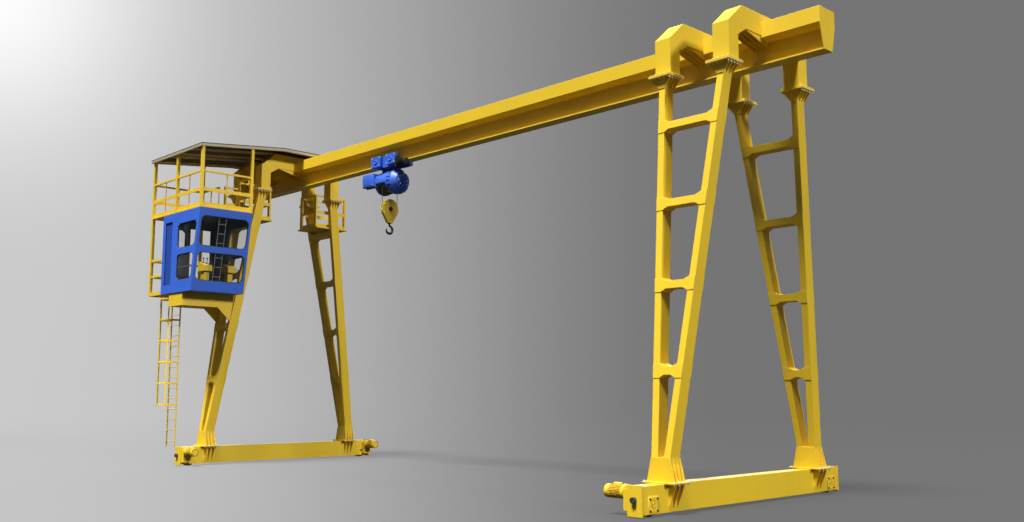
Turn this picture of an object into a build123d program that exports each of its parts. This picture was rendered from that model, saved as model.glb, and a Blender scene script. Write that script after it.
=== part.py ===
from build123d import *
import os
from math import acos, cos, degrees, radians, sin

os.makedirs("parts", exist_ok=True)

# Millimetres. X runs along the girder, Y along the track, Z up from the ground.
# The origin is on the ground at the middle of the span.
half_gauge = 8000
sides = {"left": -half_gauge, "right": half_gauge}
left_x = -half_gauge

# Girder: a closed box on top, a web plate under it and the flange that the hoist runs on
girder_half_length = 10000
girder_top = 8800
box_half_width = 263
box_side_bottom = 8505
box_bottom = 8470
box_bottom_half_width = 120
web_thickness = 20
flange_top = 8055
flange_thickness = 25
flange_half_width = 148
end_plate_thickness = 16

# Saddles: the inverted U frames over each leg, one for each column pair
saddle_offset = 645
saddle_width = 347
saddle_outer_y = 1335
saddle_inner_y = 1040
saddle_top = 8960
saddle_outer_chamfer_z = 8580
saddle_outer_chamfer_y = 900
soffit_z = 8545
soffit_y = 780
knee_z = 8380
rib_thickness = 12
rib_web_z = 8360
rib_offsets = (-150, -50, 50, 150)

# Bolted joint between a leg and its saddle
joint_z = 7850
joint_plate = (486, 466, 25)

# Legs: two columns that meet at one foot and spread along the girder as they rise
foot_y = 2330
foot_spread = 130
foot_top = 930
head_y = 1246
head_bottom = 7620
column_width = 130
column_depth = 260
flare_plate = 14
flare_inner_offset = 48
head_flare_half_width = 228
bar_heights = (2365, 3860, 5355, 6850)
bar_half_height = 70
bar_flare_half_height = 125
bar_flare_length = 110
bar_cover = 10

# Sills: the end carriages that the legs stand on
sill_half_length = 3140
sill_width = 280
sill_bottom = 50
sill_top = 506
sill_end_plate = (300, 30)
sill_end_plate_bottom = 20
sill_end_plate_top = 520
foot_plate = (660, 470, 25)
foot_flare_half_width = 290
foot_rib_offsets = (-115, 0, 115)
foot_rib_reach = 310
foot_rib_bottom = 110

# Wheels and drives
wheel_y = 2860
wheel_radius = 200
tread_radius = 176
wheel_width = 110
wheel_flange = 16
flange_draft = 6
hub_radius = 70
axle_radius = 35
axle_inset = 4
axle_clearance = 1
pocket_width = 134
pocket_half_length = 230
pocket_top = 430
buffer_radius = 50
buffer_length = 60
buffer_z = 285
gearbox = (130, 240, 350)
gearbox_z = 275
drive_y = 3000
motor_z = 385
motor_radius = 100
motor_flange_radius = 130
motor_flange_length = 60
motor_length = 370

# Cab: hollow, with a front that leans in towards its floor
cab_back = -8880
cab_front_top = -6680
cab_front_bottom = -7050
cab_near = -3450
cab_far = -1870
cab_bottom = 4740
cab_top = 7000
cab_wall = 50
cab_floor_thickness = 60
glass = 10
window_corner = 90
mid_bar_bottom = 5800
mid_bar_top = 5970
side_window_bottom = 5080
side_window_top = 6670
side_window_back = -7970
side_window_front_margin = 115
front_window_bottom = 5030
front_window_top = 6790
front_window_margin = 75
recess_back = -8720
recess_front = -8300
recess_bottom = 4980
recess_top = 6770
recess_depth = 35
door_near = -2640
door_far = -2000
door_top = 6720
back_window_near = -3340
back_window_far = -2780
console_x = -7450
console_places = (-2850, -2130)
console_stand = (190, 150)
console_bottom = 5340
console_half_length = 190
console_half_width = 120
console_front_top = 5500
console_back_top = 5620

# Bracket that carries the cab from the two columns of the near left leg
bracket_half_width = 400
bracket_bottom = 4374
bracket_near = -3420
gusset_drop = 370
gusset_reach = 450
gusset_thickness = 40

# Decks, railings and roof
deck_thickness = 40
deck_back = -9680
deck_inner_end = -770
far_deck = (770, 1880)
rail_height = 1000
rail_size = 50
knee_strip_height = 100
knee_strip_z = 470
strip_thickness = 10
toe_board_height = 110
baluster = 24
back_bay_balusters = (0.5, 0.96)
front_bay_balusters = (0.06, 0.5)
rail_gap = 10
tongue_rail_gap = 30
walkway_margin = 150
inner_rail_offset = 420
post_size = 80
post_x = (-9640, -8180, -6720)
post_near = -3410
post_far = -1910
roof_near = -3500
roof_bend = -930
roof_far = 810
roof_eave_top = 8771
roof_flat_top = 9045
roof_thickness = 25
roof_back = -9760
roof_front = -6640
rafter_depth = 60
rafter_width = 40
rafter_x = (-9640, -8645, -8180, -7355, -6720)
fascia_thickness = 30
fascia_depth = 70

# Landing beside the cab, with the ladder through its hatch
landing_top = 4840
landing_plate = 40
landing_frame_depth = 60
landing_frame_width = 50
hatch_x = (-9570, -8930)
hatch_y = (-3390, -2760)
landing_bar_heights = (5300, 5760)
landing_bar = 60
ladder_x = -9250
ladder_half_width = 260
ladder_bottom = 450
stringer = (10, 40)
rung_radius = 10
rung_pitch = 300
rung_first = 620
rung_count = 14
hoop_heights = (1650, 2252, 2855, 3457, 4060, 4662)
hoop_straight = 200
hoop_height = 50
hoop_thickness = 8
cage_strip_width = 40
cage_strip_turns = (-60, 0, 60)

# Hoist and hook, at rest where the photographed hoist hangs
hoist_x = -2720
trolley_half_length = 520
trolley_plate_y = 190
trolley_plate_thickness = 16
trolley_plate_bottom = 7950
trolley_plate_top = 8270
housing = (400, 100, 280)
housing_offset = 320
housing_z = 8120
trolley_wheel_radius = 68
trolley_wheel_width = 50
trolley_wheel_y = 112
trolley_wheel_lift = 0.5
trolley_axle_radius = 18
tie_bar = (90, 60)
tie_bar_z = 7965
trolley_gear_case = (80, 100, 270)
trolley_gear_case_z = 8015
trolley_motor_radius = 75
trolley_motor_length = 360
trolley_motor_z = 7960
trolley_motor_y = -256
drum_axis_z = 7550
drum_radius = 265
drum_back = -350
drum_front = 160
frame_ring_radius = 310
frame_ring_length = 50
hoist_motor_radius = 325
hoist_motor_length = 180
hoist_motor_taper = 140
hoist_motor_end_radius = 220
brake_cover_radius = 170
brake_cover_length = 30
lug_width = 120
control_box = (480, 230, 340)
control_box_round = 25
control_box_y = -245
control_box_z = 7640
rope_guide_radius = 292
rope_guide_length = 180
rope_guide_gap = 20
rope_guide_play = 0.5
hook_x = hoist_x - 70
rope_spread = 245
rope_radius = 8
rope_top = 7425
sheave_z = 6850
sheave_radius = 249
sheave_thickness = 30
sheave_groove = 12
sheave_groove_half_width = 9
sheave_hub_radius = 60
block_radius = 265
block_thickness = 80
block_rim = 8
block_shoulder_half_width = 222
block_shoulder_z = 6707
block_neck_half_width = 75
block_bottom = 6470
rope_slot = 44
hook_shank_radius = 26
hook_shank_play = 2
hook_shank_rise = 60
hook_collar_gap = 1
hook_collar_radius = 46
hook_collar = 20
hook_neck_end = 6423
hook_bend_radius = 40
hook_bowl_radius = 100
hook_bowl_turn = 262
hook_radii = ((0, hook_shank_radius), (0.2, hook_shank_radius), (0.6, 36), (1, 15))


def up_the_leg(z):
    """Share of the way from a column's foot to its head."""
    return (z - foot_top) / (head_bottom - foot_top)


def column_spread(z):
    """Distance along X from the middle of a leg to a column's middle."""
    return foot_spread + (saddle_offset - foot_spread) * up_the_leg(z)


def leg_y(z):
    """Distance along Y from the girder to the middle of a leg."""
    return foot_y + (head_y - foot_y) * up_the_leg(z)


def inner_gap(z):
    """Distance along X from the middle of a leg to a column's inner face."""
    return column_spread(z) - column_width / 2


def outer_reach(z):
    """Distance along X from the middle of a leg to a column's outer face."""
    return column_spread(z) + column_width / 2


def column_face(z):
    """Y of the near side of the near columns."""
    return -leg_y(z) - column_depth / 2


def cab_front(z):
    """X of the cab's leaning front at a height."""
    lean = (cab_front_top - cab_front_bottom) / (cab_top - cab_bottom)
    return cab_front_bottom + lean * (z - cab_bottom)


# Girder box, folded in under its sides
with BuildPart() as girder_box:
    with BuildSketch(Plane.YZ.offset(-girder_half_length + end_plate_thickness)):
        Polygon(
            (-box_half_width, girder_top),
            (-box_half_width, box_side_bottom),
            (-box_bottom_half_width, box_bottom),
            (box_bottom_half_width, box_bottom),
            (box_half_width, box_side_bottom),
            (box_half_width, girder_top),
            align=None,
        )
    extrude(amount=2 * (girder_half_length - end_plate_thickness))
girder_box.part.label = "girder_box"
export_step(girder_box.part, "parts/girder_box.step")

# Web plate under the box
with BuildPart() as girder_web:
    with Locations((0, 0, (box_bottom + flange_top) / 2)):
        Box(2 * (girder_half_length - end_plate_thickness), web_thickness, box_bottom - flange_top)
girder_web.part.label = "girder_web"
export_step(girder_web.part, "parts/girder_web.step")

# Flange that the hoist's wheels run on
with BuildPart() as running_flange:
    with Locations((0, 0, flange_top - flange_thickness / 2)):
        Box(2 * (girder_half_length - end_plate_thickness), 2 * flange_half_width, flange_thickness)
running_flange.part.label = "running_flange"
export_step(running_flange.part, "parts/running_flange.step")

# Plates that close the girder's two ends
with BuildPart() as girder_end_plates:
    with BuildSketch(Plane.YZ.offset(girder_half_length - end_plate_thickness)):
        Polygon(
            (-box_half_width, girder_top),
            (-box_half_width, box_side_bottom),
            (-flange_half_width, flange_top - flange_thickness),
            (flange_half_width, flange_top - flange_thickness),
            (box_half_width, box_side_bottom),
            (box_half_width, girder_top),
            align=None,
        )
    extrude(amount=end_plate_thickness)
    mirror(about=Plane.YZ)
girder_end_plates.part.label = "girder_end_plates"
export_step(girder_end_plates.part, "parts/girder_end_plates.step")

# Saddles: each carries the girder between a near and a far column
with BuildPart() as saddles:
    for x in sides.values():
        for saddle_x in (x - saddle_offset, x + saddle_offset):
            with BuildSketch(Plane.YZ.offset(saddle_x - saddle_width / 2)):
                Polygon(
                    (-saddle_outer_y, joint_z + joint_plate[2]),
                    (-saddle_outer_y, saddle_outer_chamfer_z),
                    (-saddle_outer_chamfer_y, saddle_top),
                    (0, saddle_top),
                    (0, girder_top),
                    (-box_half_width, girder_top),
                    (-box_half_width, soffit_z),
                    (-soffit_y, soffit_z),
                    (-saddle_inner_y, knee_z),
                    (-saddle_inner_y, joint_z + joint_plate[2]),
                    align=None,
                )
            extrude(amount=saddle_width)
            with Locations((saddle_x, -head_y, joint_z + joint_plate[2] / 2)):
                Box(*joint_plate)
    mirror(about=Plane.XZ)
saddles.part.label = "saddles"
export_step(saddles.part, "parts/saddles.step")

# Thin ribs under each saddle's arms, welded to the soffit, the box and the web
with BuildPart() as saddle_ribs:
    for x in sides.values():
        for saddle_x in (x - saddle_offset, x + saddle_offset):
            for rib_offset in rib_offsets:
                with BuildSketch(Plane.YZ.offset(saddle_x + rib_offset - rib_thickness / 2)):
                    Polygon(
                        (-soffit_y, soffit_z),
                        (-box_half_width, soffit_z),
                        (-box_half_width, box_side_bottom),
                        (-box_bottom_half_width, box_bottom),
                        (-web_thickness / 2, box_bottom),
                        (-web_thickness / 2, rib_web_z),
                        align=None,
                    )
                extrude(amount=rib_thickness)
    mirror(about=Plane.XZ)
saddle_ribs.part.label = "saddle_ribs"
export_step(saddle_ribs.part, "parts/saddle_ribs.step")

# Leg heads: a short stub flared by four plates up to the bolted joint
with BuildPart() as leg_heads:
    for x in sides.values():
        for head_x in (x - saddle_offset, x + saddle_offset):
            plate_bottom = joint_z - joint_plate[2]
            with Locations((head_x, -head_y, joint_z - joint_plate[2] / 2)):
                Box(*joint_plate)
            with Locations((head_x, -head_y, (head_bottom + plate_bottom) / 2)):
                Box(column_width, column_depth, plate_bottom - head_bottom)
            flare_outer = (column_depth + flare_plate) / 2
            for flare_y in (-flare_outer, -flare_inner_offset, flare_inner_offset, flare_outer):
                with BuildSketch(Plane.XZ.offset(head_y - flare_y)):
                    Polygon(
                        (head_x - column_width / 2, head_bottom),
                        (head_x + column_width / 2, head_bottom),
                        (head_x + head_flare_half_width, plate_bottom),
                        (head_x - head_flare_half_width, plate_bottom),
                        align=None,
                    )
                extrude(amount=flare_plate / 2, both=True)
    mirror(about=Plane.XZ)
leg_heads.part.label = "leg_heads"
export_step(leg_heads.part, "parts/leg_heads.step")

# Columns: flat box sections that lean both ways
with BuildPart() as columns:
    for x in sides.values():
        for lean in (-1, 1):
            with BuildSketch(Plane.XY.offset(foot_top)):
                with Locations((x + lean * foot_spread, -foot_y)):
                    Rectangle(column_width, column_depth)
            with BuildSketch(Plane.XY.offset(head_bottom)):
                with Locations((x + lean * saddle_offset, -head_y)):
                    Rectangle(column_width, column_depth)
            loft()
    mirror(about=Plane.XZ)
columns.part.label = "columns"
export_step(columns.part, "parts/columns.step")

# Crossbars: a core between the columns, with a flared cover plate on each face of the leg
leg_slope = (foot_y - head_y) / (head_bottom - foot_top)
slant = (1 + leg_slope**2) ** 0.5
with BuildPart() as crossbars:
    for x in sides.values():
        for z in bar_heights:
            waist = inner_gap(z) - bar_flare_length
            high = z + bar_flare_half_height / slant
            low = z - bar_flare_half_height / slant
            outer_face = Plane((x, -leg_y(z) - column_depth / 2, z), (1, 0, 0), (0, -1, leg_slope))
            inner_face = Plane((x, -leg_y(z) + column_depth / 2, z), (1, 0, 0), (0, -1, leg_slope))
            with BuildSketch(outer_face):
                Polygon(
                    (-inner_gap(high), bar_flare_half_height),
                    (-waist, bar_half_height),
                    (waist, bar_half_height),
                    (inner_gap(high), bar_flare_half_height),
                    (inner_gap(low), -bar_flare_half_height),
                    (waist, -bar_half_height),
                    (-waist, -bar_half_height),
                    (-inner_gap(low), -bar_flare_half_height),
                    align=None,
                )
            extrude(amount=column_depth, dir=(0, 1, 0))
            for face, outward in ((outer_face, -1), (inner_face, 1)):
                with BuildSketch(face):
                    Polygon(
                        (-outer_reach(high), bar_flare_half_height),
                        (-inner_gap(high), bar_flare_half_height),
                        (-waist, bar_half_height),
                        (waist, bar_half_height),
                        (inner_gap(high), bar_flare_half_height),
                        (outer_reach(high), bar_flare_half_height),
                        (outer_reach(low), -bar_flare_half_height),
                        (inner_gap(low), -bar_flare_half_height),
                        (waist, -bar_half_height),
                        (-waist, -bar_half_height),
                        (-inner_gap(low), -bar_flare_half_height),
                        (-outer_reach(low), -bar_flare_half_height),
                        align=None,
                    )
                extrude(amount=bar_cover, dir=(0, outward, 0))
    mirror(about=Plane.XZ)
crossbars.part.label = "crossbars"
export_step(crossbars.part, "parts/crossbars.step")

# Feet: a box under the two columns, flared by four plates, with ribs down the sill's sides
foot_half_width = foot_spread + column_width / 2
foot_plate_top = sill_top + foot_plate[2]
with BuildPart() as feet:
    for x in sides.values():
        with Locations((x, -foot_y, sill_top + foot_plate[2] / 2)):
            Box(*foot_plate)
        with Locations((x, -foot_y, (foot_plate_top + foot_top) / 2)):
            Box(2 * foot_half_width, column_depth, foot_top - foot_plate_top)
        flare_outer = (column_depth + flare_plate) / 2
        for flare_y in (-flare_outer, -flare_inner_offset, flare_inner_offset, flare_outer):
            with BuildSketch(Plane.XZ.offset(foot_y - flare_y)):
                Polygon(
                    (x - foot_flare_half_width, foot_plate_top),
                    (x + foot_flare_half_width, foot_plate_top),
                    (x + foot_half_width, foot_top),
                    (x - foot_half_width, foot_top),
                    align=None,
                )
            extrude(amount=flare_plate / 2, both=True)
        for rib_y in foot_rib_offsets:
            for outward in (-1, 1):
                with BuildSketch(Plane.XZ.offset(foot_y - rib_y)):
                    Polygon(
                        (x + outward * sill_width / 2, sill_top),
                        (x + outward * foot_rib_reach, sill_top),
                        (x + outward * sill_width / 2, foot_rib_bottom),
                        align=None,
                    )
                extrude(amount=flare_plate / 2, both=True)
    mirror(about=Plane.XZ)
feet.part.label = "feet"
export_step(feet.part, "parts/feet.step")

# Sills, with a pocket from below and a bored axle seat for the wheel at each end
with BuildPart() as sills:
    pocket_z = (sill_bottom + pocket_top) / 2
    for x in sides.values():
        with Locations((x, 0, (sill_bottom + sill_top) / 2)):
            Box(sill_width, 2 * sill_half_length, sill_top - sill_bottom)
        with Locations((x, -wheel_y, pocket_z), (x, wheel_y, pocket_z)):
            Box(pocket_width, 2 * pocket_half_length, pocket_top - sill_bottom, mode=Mode.SUBTRACT)
        with Locations((x, -wheel_y, wheel_radius), (x, wheel_y, wheel_radius)):
            Cylinder(axle_radius + axle_clearance, sill_width, rotation=(0, 90, 0), mode=Mode.SUBTRACT)
sills.part.label = "sills"
export_step(sills.part, "parts/sills.step")

# End plates of the sills, deeper than the sill so that they sweep the track
with BuildPart() as sill_end_plates:
    plate_y = sill_half_length + sill_end_plate[1] / 2
    plate_z = (sill_end_plate_bottom + sill_end_plate_top) / 2
    with Locations(*((x, y, plate_z) for x in sides.values() for y in (-plate_y, plate_y))):
        Box(sill_end_plate[0], sill_end_plate[1], sill_end_plate_top - sill_end_plate_bottom)
sill_end_plates.part.label = "sill_end_plates"
export_step(sill_end_plates.part, "parts/sill_end_plates.step")

# Round buffers on the end plates
with BuildPart() as buffers:
    buffer_y = sill_half_length + sill_end_plate[1] + buffer_length / 2
    with Locations(*((x, y, buffer_z) for x in sides.values() for y in (-buffer_y, buffer_y))):
        Cylinder(buffer_radius, buffer_length, rotation=(90, 0, 0))
buffers.part.label = "buffers"
export_step(buffers.part, "parts/buffers.step")

# Geared motors on the sills' inner sides, one at each wheel
with BuildPart() as travel_drives:
    for x in sides.values():
        inward = -1 if x > 0 else 1
        gear_x = x + inward * (sill_width + gearbox[0]) / 2
        flange_x = x + inward * (sill_width / 2 + gearbox[0] + motor_flange_length / 2)
        motor_x = x + inward * (sill_width / 2 + gearbox[0] + motor_flange_length + motor_length / 2)
        with Locations((gear_x, -drive_y, gearbox_z)):
            Box(*gearbox)
        with Locations((flange_x, -drive_y, motor_z)):
            Cylinder(motor_flange_radius, motor_flange_length, rotation=(0, 90, 0))
        with Locations((motor_x, -drive_y, motor_z)):
            Cylinder(motor_radius, motor_length, rotation=(0, 90, 0))
    mirror(about=Plane.XZ)
travel_drives.part.label = "travel_drives"
export_step(travel_drives.part, "parts/travel_drives.step")

# Wheels, turned in one piece with their axles, with a flange on each side of the tread
for side, x in sides.items():
    for end, y in (("near", -wheel_y), ("far", wheel_y)):
        with BuildPart() as wheel:
            with BuildSketch(Plane((x, y, wheel_radius), (1, 0, 0), (0, -1, 0))):
                half = wheel_width / 2
                axle_half = sill_width / 2 - axle_inset
                Polygon(
                    (-axle_half, 0),
                    (-axle_half, axle_radius),
                    (-half, axle_radius),
                    (-half, hub_radius),
                    (-half + wheel_flange, hub_radius),
                    (-half + wheel_flange, tread_radius - wheel_flange),
                    (-half, tread_radius - wheel_flange),
                    (-half, wheel_radius),
                    (-half + wheel_flange, wheel_radius),
                    (-half + wheel_flange + flange_draft, tread_radius),
                    (half - wheel_flange - flange_draft, tread_radius),
                    (half - wheel_flange, wheel_radius),
                    (half, wheel_radius),
                    (half, tread_radius - wheel_flange),
                    (half - wheel_flange, tread_radius - wheel_flange),
                    (half - wheel_flange, hub_radius),
                    (half, hub_radius),
                    (half, axle_radius),
                    (axle_half, axle_radius),
                    (axle_half, 0),
                    align=None,
                )
            revolve(axis=Axis((x, y, wheel_radius), (1, 0, 0)))
        wheel.part.label = f"wheel_{side}_{end}"
        export_step(wheel.part, f"parts/wheel_{side}_{end}.step")


def side_windows(y):
    """The two panes of a cab side, cut off at their corners, in the plane at y."""
    with BuildSketch(Plane.XZ.offset(-y)) as panes:
        for low, high in ((side_window_bottom, mid_bar_bottom), (mid_bar_top, side_window_top)):
            Polygon(
                (side_window_back, low),
                (cab_front(low) - side_window_front_margin, low),
                (cab_front(high) - side_window_front_margin, high),
                (side_window_back, high),
                align=None,
            )
        chamfer(panes.vertices(), window_corner)
    return panes.sketch


def front_windows(x):
    """The two panes of the cab's front, cut off at their corners, in the plane at x."""
    with BuildSketch(Plane.YZ.offset(x)) as panes:
        for low, high in ((front_window_bottom, mid_bar_bottom), (mid_bar_top, front_window_top)):
            with Locations(((cab_near + cab_far) / 2, (low + high) / 2)):
                Rectangle(cab_far - cab_near - 2 * front_window_margin, high - low)
        chamfer(panes.vertices(), window_corner)
    return panes.sketch


cab_floor_top = cab_bottom + cab_floor_thickness
cab_ceiling = cab_top - cab_wall
cab_depth = cab_far - cab_near

# Cab floor and ceiling: full plates between which the walls stand
with BuildPart() as cab_floor_and_ceiling:
    for low, high in ((cab_bottom, cab_floor_top), (cab_ceiling, cab_top)):
        with BuildSketch(Plane.XZ.offset(-cab_near)):
            Polygon(
                (cab_back, low),
                (cab_front(low), low),
                (cab_front(high), high),
                (cab_back, high),
                align=None,
            )
        extrude(amount=-cab_depth)
cab_floor_and_ceiling.part.label = "cab_floor_and_ceiling"
export_step(cab_floor_and_ceiling.part, "parts/cab_floor_and_ceiling.step")

# Cab side walls, each with two windows and a pressed vertical recess
with BuildPart() as cab_side_walls:
    for y in (cab_near, cab_far - cab_wall):
        with BuildSketch(Plane.XZ.offset(-y)):
            Polygon(
                (cab_back, cab_floor_top),
                (cab_front(cab_floor_top), cab_floor_top),
                (cab_front(cab_ceiling), cab_ceiling),
                (cab_back, cab_ceiling),
                align=None,
            )
        extrude(amount=-cab_wall)
    extrude(side_windows(cab_near), amount=-cab_depth, mode=Mode.SUBTRACT)
    recess_x = (recess_back + recess_front) / 2
    recess_z = (recess_bottom + recess_top) / 2
    with Locations(
        (recess_x, cab_near + recess_depth / 2, recess_z),
        (recess_x, cab_far - recess_depth / 2, recess_z),
    ):
        Box(recess_front - recess_back, recess_depth, recess_top - recess_bottom, mode=Mode.SUBTRACT)
cab_side_walls.part.label = "cab_side_walls"
export_step(cab_side_walls.part, "parts/cab_side_walls.step")

# Cab front, leaning in towards the floor
front_cut = cab_front_bottom - cab_front_top - 2 * cab_wall
with BuildPart() as cab_front_wall:
    with BuildSketch(Plane.XZ.offset(-cab_near - cab_wall)):
        Polygon(
            (cab_front(cab_floor_top), cab_floor_top),
            (cab_front(cab_ceiling), cab_ceiling),
            (cab_front(cab_ceiling) - cab_wall, cab_ceiling),
            (cab_front(cab_floor_top) - cab_wall, cab_floor_top),
            align=None,
        )
    extrude(amount=-(cab_depth - 2 * cab_wall))
    extrude(front_windows(cab_front_top), amount=front_cut, mode=Mode.SUBTRACT)
cab_front_wall.part.label = "cab_front_wall"
export_step(cab_front_wall.part, "parts/cab_front_wall.step")

# Cab back, with a doorway to the landing and one window
with BuildPart() as cab_back_wall:
    wall_y = (cab_near + cab_far) / 2
    with Locations((cab_back + cab_wall / 2, wall_y, (cab_floor_top + cab_ceiling) / 2)):
        Box(cab_wall, cab_depth - 2 * cab_wall, cab_ceiling - cab_floor_top)
    with Locations((cab_back + cab_wall / 2, (door_near + door_far) / 2, (landing_top + door_top) / 2)):
        Box(cab_wall, door_far - door_near, door_top - landing_top, mode=Mode.SUBTRACT)
    with BuildSketch(Plane.YZ.offset(cab_back)) as back_window:
        with Locations(((back_window_near + back_window_far) / 2, (mid_bar_top + side_window_top) / 2)):
            Rectangle(back_window_far - back_window_near, side_window_top - mid_bar_top)
        chamfer(back_window.vertices(), window_corner)
    extrude(amount=cab_wall, mode=Mode.SUBTRACT)
cab_back_wall.part.label = "cab_back_wall"
export_step(cab_back_wall.part, "parts/cab_back_wall.step")

# Glass of the leaning front: the two openings cut down to one pane's thickness
glass_inset = (cab_wall - glass) / 2
with BuildPart() as front_glass:
    extrude(front_windows(cab_front_top), amount=front_cut)
    with BuildSketch(Plane.XZ.offset(-cab_near)):
        Polygon(
            (cab_front(cab_bottom) - glass_inset, cab_bottom),
            (cab_front(cab_top) - glass_inset, cab_top),
            (cab_front(cab_top) - glass_inset - glass, cab_top),
            (cab_front(cab_bottom) - glass_inset - glass, cab_bottom),
            align=None,
        )
    extrude(amount=-cab_depth, mode=Mode.INTERSECT)

# All the cab's glass
with BuildPart() as cab_glazing:
    add(front_glass.part)
    extrude(side_windows(cab_near + glass_inset), amount=-glass)
    extrude(side_windows(cab_far - glass_inset - glass), amount=-glass)
    extrude(back_window.sketch.moved(Location((glass_inset, 0, 0))), amount=glass)
cab_glazing.part.label = "cab_glazing"
export_step(cab_glazing.part, "parts/cab_glazing.step")

# Two control consoles behind the front glass
with BuildPart() as control_consoles:
    for console_y in console_places:
        with Locations((console_x, console_y, (cab_floor_top + console_bottom) / 2)):
            Box(console_stand[0], console_stand[1], console_bottom - cab_floor_top)
        with BuildSketch(Plane.XZ.offset(-console_y)):
            Polygon(
                (console_x - console_half_length, console_bottom),
                (console_x + console_half_length, console_bottom),
                (console_x + console_half_length, console_front_top),
                (console_x - console_half_length, console_back_top),
                align=None,
            )
        extrude(amount=console_half_width, both=True)
control_consoles.part.label = "control_consoles"
export_step(control_consoles.part, "parts/control_consoles.step")

# Bracket under the cab, cut to the columns' leaning faces, with a gusset below each side
with BuildPart() as cab_bracket:
    with BuildSketch(Plane.YZ.offset(left_x - bracket_half_width)):
        Polygon(
            (bracket_near, cab_bottom),
            (bracket_near, bracket_bottom),
            (column_face(bracket_bottom), bracket_bottom),
            (column_face(cab_bottom), cab_bottom),
            align=None,
        )
    extrude(amount=2 * bracket_half_width)
    for gusset_x in (left_x - bracket_half_width, left_x + bracket_half_width - gusset_thickness):
        with BuildSketch(Plane.YZ.offset(gusset_x)):
            Polygon(
                (column_face(bracket_bottom) - gusset_reach, bracket_bottom),
                (column_face(bracket_bottom - gusset_drop), bracket_bottom - gusset_drop),
                (column_face(bracket_bottom), bracket_bottom),
                align=None,
            )
        extrude(amount=gusset_thickness)
cab_bracket.part.label = "cab_bracket"
export_step(cab_bracket.part, "parts/cab_bracket.step")

# Upper deck: over the cab and landing, with a tongue between the near columns, and a far platform
deck_top = cab_top + deck_thickness
with BuildPart() as upper_deck:
    with Locations(((deck_back + cab_front_top) / 2, (cab_near + cab_far) / 2, cab_top + deck_thickness / 2)):
        Box(cab_front_top - deck_back, cab_depth, deck_thickness)
    for start, end in ((cab_far, deck_inner_end), far_deck):
        with BuildSketch(Plane.XZ.offset(-start)):
            Polygon(
                (left_x - inner_gap(cab_top), cab_top),
                (left_x + inner_gap(cab_top), cab_top),
                (left_x + inner_gap(deck_top), deck_top),
                (left_x - inner_gap(deck_top), deck_top),
                align=None,
            )
        extrude(amount=start - end)
upper_deck.part.label = "upper_deck"
export_step(upper_deck.part, "parts/upper_deck.step")


def railing(start, end, posts=True, balusters=()):
    """One straight run of railing on the deck from start to end, in the open part."""
    along_y = start[0] == end[0]
    length = abs(end[0] - start[0]) + abs(end[1] - start[1])
    middle = ((start[0] + end[0]) / 2, (start[1] + end[1]) / 2, deck_top)
    with Locations(Location(middle, (0, 0, 90 if along_y else 0))):
        with Locations((0, 0, rail_height - rail_size / 2)):
            Box(length, rail_size, rail_size)
        with Locations((0, 0, knee_strip_z)):
            Box(length, strip_thickness, knee_strip_height)
        with Locations((0, 0, toe_board_height / 2)):
            Box(length, strip_thickness, toe_board_height)
        if posts:
            post_at = (length - rail_size) / 2
            with Locations((-post_at, 0, rail_height / 2), (post_at, 0, rail_height / 2)):
                Box(rail_size, rail_size, rail_height)
        for share in balusters:
            with Locations(((share - 0.5) * length, 0, rail_height / 2)):
                Box(baluster, baluster, rail_height)


# Railing bays between the roof posts, and one panel a side around each platform between columns
half_post = post_size / 2
back_post, middle_post, front_post = post_x
tongue_start = cab_far + tongue_rail_gap
end_half = inner_rail_offset - rail_size / 2 - rail_gap
end_inset = rail_gap + rail_size / 2
walk_back = left_x - inner_rail_offset - walkway_margin
walk_front = left_x + inner_rail_offset + walkway_margin
with BuildPart() as upper_railing:
    railing((back_post + half_post, post_near), (middle_post - half_post, post_near), False, (0.5,))
    railing((middle_post + half_post, post_near), (front_post - half_post, post_near), False, (0.5,))
    railing((front_post, post_near + half_post), (front_post, post_far - half_post), False, (0.5,))
    railing((back_post, post_near + half_post), (back_post, post_far - half_post), False, (0.5,))
    railing((back_post + half_post, post_far), (walk_back, post_far), False, back_bay_balusters)
    railing((walk_front, post_far), (front_post - half_post, post_far), False, front_bay_balusters)
    for across in (-inner_rail_offset, inner_rail_offset):
        railing((left_x + across, tongue_start), (left_x + across, deck_inner_end - rail_gap))
        railing((left_x + across, far_deck[0] + rail_gap), (left_x + across, far_deck[1] - rail_gap))
    for y in (deck_inner_end - end_inset, far_deck[0] + end_inset, far_deck[1] - end_inset):
        railing((left_x - end_half, y), (left_x + end_half, y))
upper_railing.part.label = "upper_railing"
export_step(upper_railing.part, "parts/upper_railing.step")

# Roof sheet: a slope over the cab, then flat over the girder
roof_slope = (roof_flat_top - roof_eave_top) / (roof_bend - roof_near)


def roof_underside(y):
    """Height of the roof sheet's underside."""
    return min(roof_eave_top + roof_slope * (y - roof_near), roof_flat_top) - roof_thickness


with BuildPart() as roof_sheet:
    with BuildSketch(Plane.YZ.offset(roof_back)):
        Polygon(
            (roof_near, roof_underside(roof_near)),
            (roof_bend, roof_underside(roof_bend)),
            (roof_far, roof_underside(roof_far)),
            (roof_far, roof_flat_top),
            (roof_bend, roof_flat_top),
            (roof_near, roof_eave_top),
            align=None,
        )
    extrude(amount=roof_front - roof_back)
roof_sheet.part.label = "roof_sheet"
export_step(roof_sheet.part, "parts/roof_sheet.step")

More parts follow.
